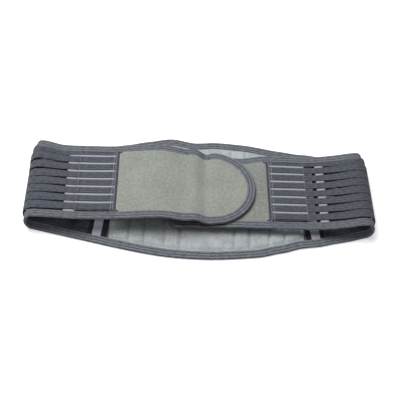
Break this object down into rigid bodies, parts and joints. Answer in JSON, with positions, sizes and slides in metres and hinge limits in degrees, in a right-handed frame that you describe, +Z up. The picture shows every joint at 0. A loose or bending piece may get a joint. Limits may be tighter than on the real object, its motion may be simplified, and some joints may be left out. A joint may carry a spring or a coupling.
{
  "type": "lumbar support belt",
  "caption": "Elastic lumbar belt, fastened and lying flat: contoured padded back panel with stays, slatted elastic sides and an overlapping hook-and-loop front tongue.",
  "frame": {"origin": "on the floor under the middle of the flattened loop", "axes": "+X along the belt towards the right wing, +Y towards the edge worn upwards, +Z up, away from the back panel it lies on"},
  "size_m": [0.462, 0.205, 0.0349],
  "materials": {
    "rib_elastic": "matte",
    "binding_tape": "matte",
    "loop_pile": "matte",
    "wing_lining": "matte",
    "cross_webbing": "matte",
    "shell_fabric": "matte",
    "foam_pad": "matte",
    "spacer_lining": "matte",
    "stay_steel": "satin",
    "black_band": "matte",
    "channel_tape": "matte",
    "bone_plastic": "satin",
    "hook_plastic": "matte"
  },
  "bodies": {
    "back_panel": {"back_shell": "shell_fabric", "back_pad": "foam_pad", "back_lining": "spacer_lining", "lumbar_stay_1": "stay_steel", "lumbar_stay_2": "stay_steel", "lumbar_stay_3": "stay_steel", "lumbar_stay_4": "stay_steel", "left_seam_band": "black_band", "left_channel_tape": "channel_tape", "left_side_bone": "bone_plastic", "right_seam_band": "black_band", "right_channel_tape": "channel_tape", "right_side_bone": "bone_plastic", "back_binding_top": "binding_tape", "back_binding_bottom": "binding_tape", "left_rear_slats": "rib_elastic", "left_bend_slats": "rib_elastic", "left_bend_bindings": "binding_tape", "right_rear_slats": "rib_elastic", "right_bend_slats": "rib_elastic", "right_bend_bindings": "binding_tape"},
    "left_elastic": {"left_slat_1": "rib_elastic", "left_slat_2": "rib_elastic", "left_slat_3": "rib_elastic", "left_slat_4": "rib_elastic", "left_slat_5": "rib_elastic", "left_slat_6": "rib_elastic", "left_slat_7": "rib_elastic", "left_slat_8": "rib_elastic", "left_cross_tape": "cross_webbing", "left_edge_tape_top": "binding_tape", "left_edge_tape_bottom": "binding_tape"},
    "flap": {"flap_face": "loop_pile", "flap_lining": "wing_lining", "flap_binding_top": "binding_tape", "flap_binding_bottom": "binding_tape"},
    "tongue": {"tongue_face": "loop_pile", "tongue_lining": "wing_lining", "tongue_binding": "binding_tape", "hook_patch": "hook_plastic"},
    "right_elastic": {"right_slat_1": "rib_elastic", "right_slat_2": "rib_elastic", "right_slat_3": "rib_elastic", "right_slat_4": "rib_elastic", "right_slat_5": "rib_elastic", "right_slat_6": "rib_elastic", "right_slat_7": "rib_elastic", "right_slat_8": "rib_elastic", "right_cross_tape": "cross_webbing", "right_edge_tape_top": "binding_tape", "right_edge_tape_bottom": "binding_tape"},
    "right_panel": {"right_panel_face": "loop_pile", "right_panel_lining": "wing_lining", "right_panel_binding": "binding_tape"}
  },
  "joints": [
    {"name": "left_wing_swing", "type": "hinge", "parent": "back_panel", "child": "left_elastic", "pos_m": [-0.21655, 0, 0.01565], "axis": [0, -1, 0], "range_deg": [0, 170], "deforming": ["left_bend_slats", "left_bend_bindings"]},
    {"name": "left_stretch", "type": "slide", "parent": "left_elastic", "child": "flap", "axis": [1, 0, 0], "range_m": [0, 0.03], "stiffness_N_per_m": 600},
    {"name": "tongue_peel", "type": "hinge", "parent": "flap", "child": "tongue", "pos_m": [0.007, 0, 0.0226], "axis": [0, -1, 0], "range_deg": [0, 150]},
    {"name": "right_wing_swing", "type": "hinge", "parent": "back_panel", "child": "right_elastic", "pos_m": [0.21655, 0, 0.01565], "axis": [0, 1, 0], "range_deg": [0, 85], "deforming": ["right_bend_slats", "right_bend_bindings"]},
    {"name": "right_stretch", "type": "slide", "parent": "right_elastic", "child": "right_panel", "axis": [-1, 0, 0], "range_m": [0, 0.025], "stiffness_N_per_m": 600}
  ],
  "couplings": [
    {"joint": "right_wing_swing", "follows": "left_wing_swing", "ratio": 0.5}
  ]
}
